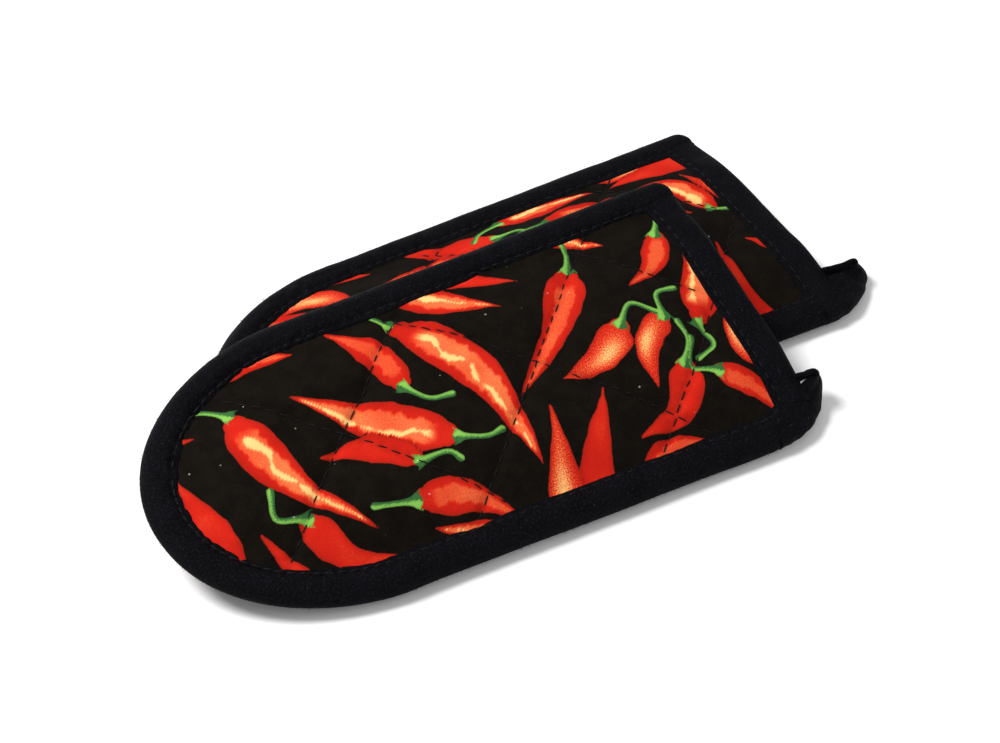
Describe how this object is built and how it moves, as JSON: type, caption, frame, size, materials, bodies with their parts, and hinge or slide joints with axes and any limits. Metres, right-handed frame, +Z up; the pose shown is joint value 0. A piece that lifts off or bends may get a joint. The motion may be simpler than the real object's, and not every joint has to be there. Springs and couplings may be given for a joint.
{
  "type": "oven mitt",
  "caption": "Matched pair of quilted pan-handle mitts: flat fabric sleeves with a round closed end, bound edges, an open mouth and a small hanging loop; one lies partly on the other.",
  "frame": {"origin": "on the rest plane, under the middle of the lower (rear) mitt", "axes": "+X along the lower mitt from its closed end to its mouth, +Z up from the rest plane, +Y across, away from the upper mitt's near edge"},
  "size_m": [0.1894, 0.108, 0.0268],
  "materials": {
    "printed_cotton": "quilted printed cotton, dark ground with red chilli peppers",
    "lining_cotton": "plain dark cotton",
    "wadding": "needled cotton wadding",
    "binding_tape": "folded cotton tape, fine ribs",
    "thread": "matt sewing thread"
  },
  "bodies": {
    "rear_mitt": {"rear_bottom_shell": "printed_cotton", "rear_bottom_batting": "wadding", "rear_bottom_lining": "lining_cotton", "rear_top_lining": "lining_cotton", "rear_top_batting": "wadding", "rear_top_shell": "printed_cotton", "rear_edge_binding": "binding_tape", "rear_edge_stitching": "thread", "rear_top_mouth_binding": "binding_tape", "rear_bottom_mouth_binding": "binding_tape", "rear_top_mouth_stitching": "thread", "rear_bottom_mouth_stitching": "thread", "rear_top_quilting": "thread", "rear_bottom_quilting": "thread", "rear_loop_tack": "binding_tape"},
    "rear_loop": {"rear_hang_loop": "binding_tape"},
    "front_mitt": {"front_bottom_shell": "printed_cotton", "front_bottom_batting": "wadding", "front_bottom_lining": "lining_cotton", "front_top_lining": "lining_cotton", "front_top_batting": "wadding", "front_top_shell": "printed_cotton", "front_edge_binding": "binding_tape", "front_edge_stitching": "thread", "front_top_mouth_binding": "binding_tape", "front_bottom_mouth_binding": "binding_tape", "front_top_mouth_stitching": "thread", "front_bottom_mouth_stitching": "thread", "front_top_quilting": "thread", "front_bottom_quilting": "thread", "front_loop_tack": "binding_tape"},
    "front_loop": {"front_hang_loop": "binding_tape"}
  },
  "joints": [
    {"name": "front_lift", "type": "slide", "parent": "rear_mitt", "child": "front_mitt", "axis": [0, 0, 1], "range_m": [0, 0.06]},
    {"name": "rear_loop_hinge", "type": "hinge", "parent": "rear_mitt", "child": "rear_loop", "pos_m": [0.07939, -0.03003, 0.0026], "axis": [0.0262, -0.9997, 0], "range_deg": [0, 80]},
    {"name": "front_loop_hinge", "type": "hinge", "parent": "front_mitt", "child": "front_loop", "pos_m": [0.05146, -0.0602, 0.00438], "axis": [0.0127, -0.9636, -0.2671], "range_deg": [0, 80]}
  ]
}
